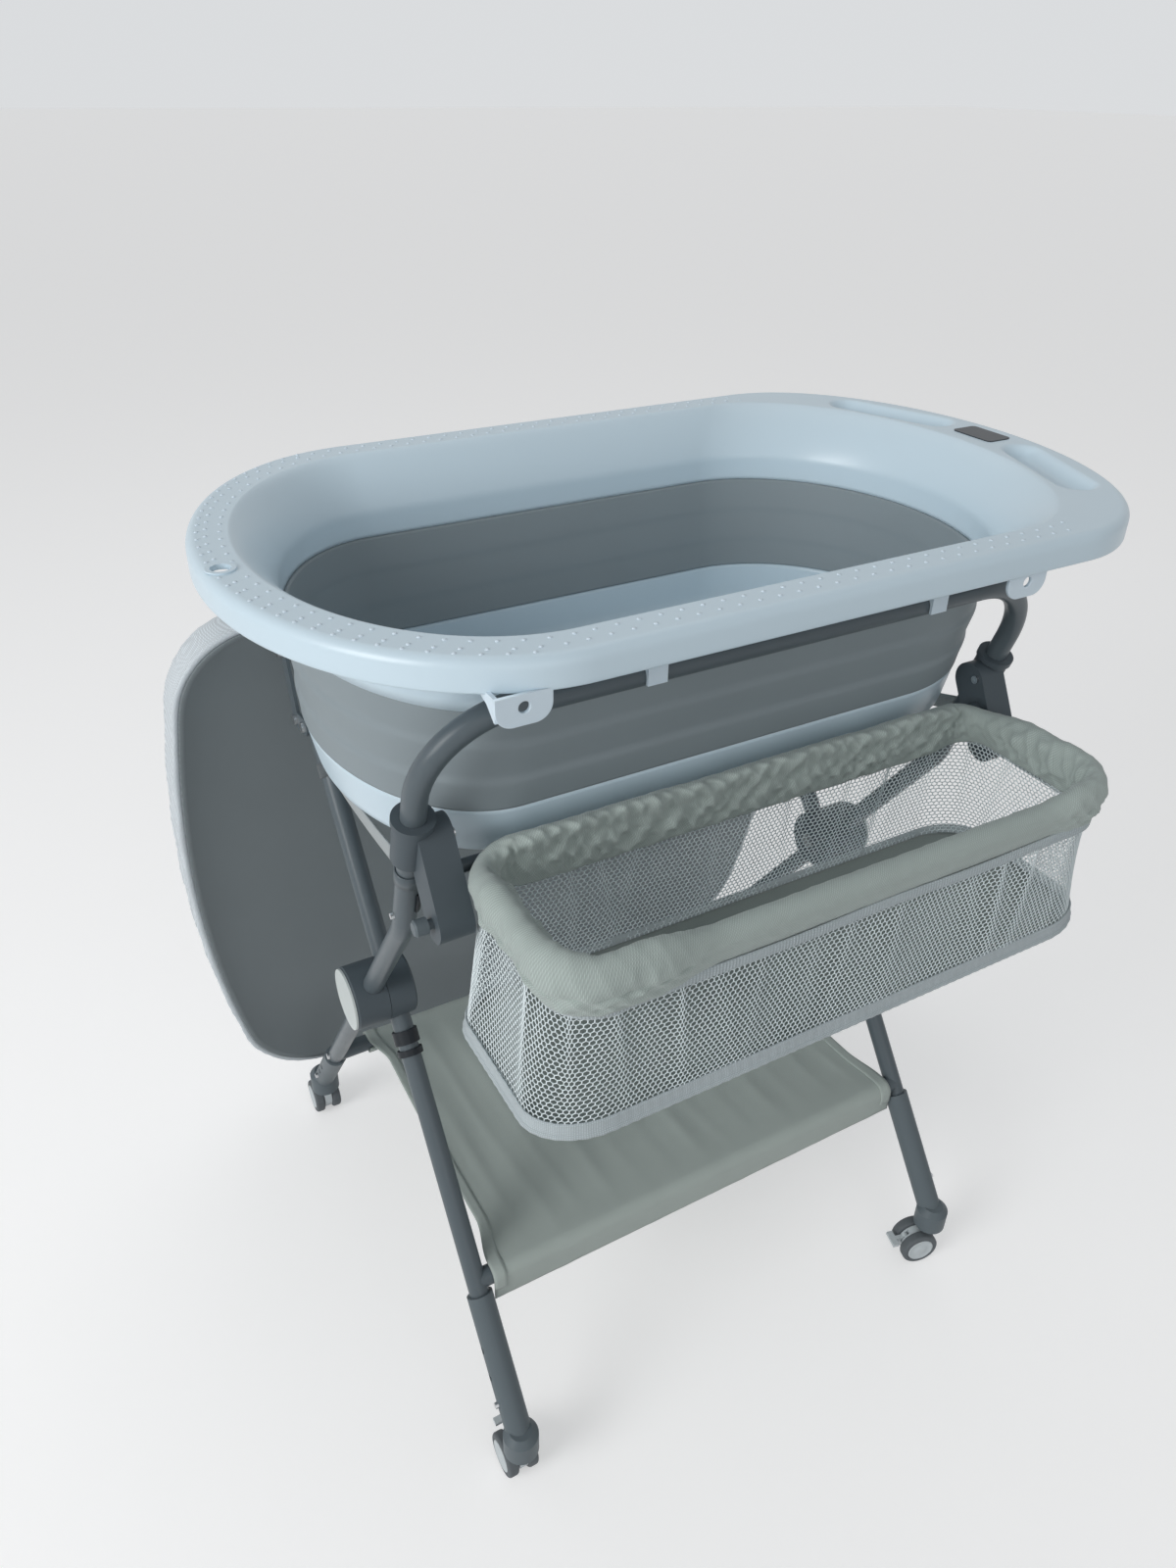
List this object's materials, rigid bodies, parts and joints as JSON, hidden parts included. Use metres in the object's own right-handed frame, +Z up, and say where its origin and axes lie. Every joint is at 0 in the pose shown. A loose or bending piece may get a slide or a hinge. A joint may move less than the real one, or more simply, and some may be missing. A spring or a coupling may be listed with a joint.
{
  "type": "baby bathtub with folding stand",
  "caption": "Collapsible baby bathtub on a crossed-leg folding stand with casters, net basket, cloth shelf and a hanging back panel.",
  "frame": {"origin": "on the floor under the middle of the object's bounding box", "axes": "+X along the tub to its thermometer end, +Y to the panel at the back, +Z up"},
  "size_m": [0.8197, 0.6797, 0.8592],
  "materials": {
    "tube": "satin grey paint",
    "hub": "fine matt",
    "foot": "fine matt",
    "cream_plastic": "matt",
    "steel": "plated",
    "black_plastic": "matt",
    "white_plastic": "satin",
    "soft_gray": "matt",
    "display": "gloss",
    "wheel": "satin",
    "basket_cloth": "woven",
    "net": "open net",
    "shelf_cloth": "woven",
    "webbing": "webbing",
    "panel_face": "smooth",
    "panel_white": "smooth"
  },
  "bodies": {
    "stand": {"outer_leg_left": "tube", "outer_leg_right": "tube", "front_tube": "tube", "snap_pins": "steel", "joint_clips": "black_plastic", "back_low_rail": "tube", "hub_outer_left": "hub", "hub_outer_right": "hub", "hub_caps": "cream_plastic", "bracket_left": "hub", "bracket_right": "hub", "frame_screws": "steel"},
    "inner_frame": {"inner_leg_left": "tube", "inner_leg_right": "tube", "front_low_rail": "tube", "back_rail": "tube", "rail_saddles": "white_plastic", "hub_inner_left": "hub", "hub_inner_right": "hub", "frame_bolts": "steel", "leg_rings": "black_plastic", "panel_hangers": "tube", "shelf_cloth": "shelf_cloth", "spread_straps": "webbing"},
    "tub": {"tub_rim": "white_plastic", "thermometer": "display", "hanging_ring": "white_plastic", "rail_hooks": "white_plastic", "tub_wall": "soft_gray"},
    "tub_floor": {"tub_base": "white_plastic"},
    "plug": {"drain_plug": "white_plastic"},
    "basket": {"basket_frame": "tube", "basket_border": "basket_cloth", "basket_mesh": "net", "basket_floor": "basket_cloth"},
    "panel": {"panel_board": "panel_face", "panel_pad": "panel_white", "panel_hinges": "steel"},
    "knob_left": {"push_knob_left": "cream_plastic"},
    "knob_right": {"push_knob_right": "cream_plastic"},
    "foot_front_left": {"foot_sleeve_front_left": "foot"},
    "button_front_left": {"snap_button_front_left": "steel"},
    "caster_front_left": {"caster_body_front_left": "white_plastic"},
    "wheels_front_left": {"wheel_pair_front_left": "wheel"},
    "pedal_front_left": {"brake_pedal_front_left": "white_plastic"},
    "foot_front_right": {"foot_sleeve_front_right": "foot"},
    "button_front_right": {"snap_button_front_right": "steel"},
    "caster_front_right": {"caster_body_front_right": "white_plastic"},
    "wheels_front_right": {"wheel_pair_front_right": "wheel"},
    "pedal_front_right": {"brake_pedal_front_right": "white_plastic"},
    "foot_back_left": {"foot_sleeve_back_left": "foot"},
    "button_back_left": {"snap_button_back_left": "steel"},
    "caster_back_left": {"caster_body_back_left": "white_plastic"},
    "wheels_back_left": {"wheel_pair_back_left": "wheel"},
    "pedal_back_left": {"brake_pedal_back_left": "white_plastic"},
    "foot_back_right": {"foot_sleeve_back_right": "foot"},
    "button_back_right": {"snap_button_back_right": "steel"},
    "caster_back_right": {"caster_body_back_right": "white_plastic"},
    "wheels_back_right": {"wheel_pair_back_right": "wheel"},
    "pedal_back_right": {"brake_pedal_back_right": "white_plastic"}
  },
  "joints": [
    {"name": "tub_lift", "type": "slide", "parent": "stand", "child": "tub", "axis": [0, 0, 1], "range_m": [0, 0.6]},
    {"name": "fold", "type": "hinge", "parent": "stand", "child": "inner_frame", "pos_m": [-0.0175, -0.00232, 0.419], "axis": [1, 0, 0], "range_deg": [0, 50], "deforming": ["shelf_cloth", "spread_straps"]},
    {"name": "tub_collapse", "type": "slide", "parent": "tub", "child": "tub_floor", "axis": [0, 0, 1], "range_m": [0, 0.1], "deforming": ["tub_wall"]},
    {"name": "plug_pull", "type": "slide", "parent": "tub_floor", "child": "plug", "axis": [0, 0, 1], "range_m": [0, 0.03]},
    {"name": "basket_tip", "type": "hinge", "parent": "stand", "child": "basket", "pos_m": [-0.0175, -0.18031, 0.672], "axis": [-1, 0, 0], "range_deg": [0, 40]},
    {"name": "panel_swing", "type": "hinge", "parent": "inner_frame", "child": "panel", "pos_m": [-0.0175, 0.19868, 0.704], "axis": [1, 0, 0], "range_deg": [0, 90]},
    {"name": "knob_press_left", "type": "slide", "parent": "stand", "child": "knob_left", "axis": [1, 0, 0], "range_m": [0, 0.0035], "stiffness_N_per_m": 400, "springref_m": -0.002},
    {"name": "knob_press_right", "type": "slide", "parent": "stand", "child": "knob_right", "axis": [-1, 0, 0], "range_m": [0, 0.0035], "stiffness_N_per_m": 400, "springref_m": -0.002},
    {"name": "extend_front_left", "type": "slide", "parent": "inner_frame", "child": "foot_front_left", "axis": [0, -0.5934, -0.8049], "range_m": [0, 0.052], "deforming": ["snap_button_front_left"]},
    {"name": "press_front_left", "type": "slide", "parent": "inner_frame", "child": "button_front_left", "axis": [1, 0, 0], "range_m": [0, 0.0045], "stiffness_N_per_m": 400, "springref_m": -0.002},
    {"name": "swivel_front_left", "type": "hinge", "parent": "foot_front_left", "child": "caster_front_left", "pos_m": [-0.2758, -0.26553, 0.043], "axis": [0, 0, 1], "continuous": true},
    {"name": "roll_front_left", "type": "hinge", "parent": "caster_front_left", "child": "wheels_front_left", "pos_m": [-0.2758, -0.25153, 0.021], "axis": [1, 0, 0], "continuous": true},
    {"name": "brake_front_left", "type": "hinge", "parent": "caster_front_left", "child": "pedal_front_left", "pos_m": [-0.2758, -0.23853, 0.031], "axis": [-1, 0, 0], "range_deg": [0, 20]},
    {"name": "extend_front_right", "type": "slide", "parent": "inner_frame", "child": "foot_front_right", "axis": [0, -0.5934, -0.8049], "range_m": [0, 0.052], "deforming": ["snap_button_front_right"]},
    {"name": "press_front_right", "type": "slide", "parent": "inner_frame", "child": "button_front_right", "axis": [-1, 0, 0], "range_m": [0, 0.0045], "stiffness_N_per_m": 400, "springref_m": -0.002},
    {"name": "swivel_front_right", "type": "hinge", "parent": "foot_front_right", "child": "caster_front_right", "pos_m": [0.2408, -0.26553, 0.043], "axis": [0, 0, 1], "continuous": true},
    {"name": "roll_front_right", "type": "hinge", "parent": "caster_front_right", "child": "wheels_front_right", "pos_m": [0.22728, -0.2619, 0.021], "axis": [0.2588, 0.9659, 0], "continuous": true},
    {"name": "brake_front_right", "type": "hinge", "parent": "caster_front_right", "child": "pedal_front_right", "pos_m": [0.21472, -0.25854, 0.031], "axis": [-0.2588, -0.9659, 0], "range_deg": [0, 20]},
    {"name": "extend_back_left", "type": "slide", "parent": "stand", "child": "foot_back_left", "axis": [0, 0.5878, -0.809], "range_m": [0, 0.052], "deforming": ["snap_button_back_left"]},
    {"name": "press_back_left", "type": "slide", "parent": "stand", "child": "button_back_left", "axis": [1, 0, 0], "range_m": [0, 0.0045], "stiffness_N_per_m": 400, "springref_m": -0.002},
    {"name": "swivel_back_left", "type": "hinge", "parent": "foot_back_left", "child": "caster_back_left", "pos_m": [-0.2975, 0.25705, 0.043], "axis": [0, 0, 1], "continuous": true},
    {"name": "roll_back_left", "type": "hinge", "parent": "caster_back_left", "child": "wheels_back_left", "pos_m": [-0.2975, 0.27105, 0.021], "axis": [1, 0, 0], "continuous": true},
    {"name": "brake_back_left", "type": "hinge", "parent": "caster_back_left", "child": "pedal_back_left", "pos_m": [-0.2975, 0.28405, 0.031], "axis": [-1, 0, 0], "range_deg": [0, 20]},
    {"name": "extend_back_right", "type": "slide", "parent": "stand", "child": "foot_back_right", "axis": [0, 0.5878, -0.809], "range_m": [0, 0.052], "deforming": ["snap_button_back_right"]},
    {"name": "press_back_right", "type": "slide", "parent": "stand", "child": "button_back_right", "axis": [-1, 0, 0], "range_m": [0, 0.0045], "stiffness_N_per_m": 400, "springref_m": -0.002},
    {"name": "swivel_back_right", "type": "hinge", "parent": "foot_back_right", "child": "caster_back_right", "pos_m": [0.2625, 0.25705, 0.043], "axis": [0, 0, 1], "continuous": true},
    {"name": "roll_back_right", "type": "hinge", "parent": "caster_back_right", "child": "wheels_back_right", "pos_m": [0.2555, 0.26918, 0.021], "axis": [0.866, 0.5, 0], "continuous": true},
    {"name": "brake_back_right", "type": "hinge", "parent": "caster_back_right", "child": "pedal_back_right", "pos_m": [0.249, 0.28043, 0.031], "axis": [-0.866, -0.5, 0], "range_deg": [0, 20]}
  ],
  "couplings": [
    {"joint": "fold", "follows": "tub_lift", "rad_per_m": 1.4544}
  ]
}
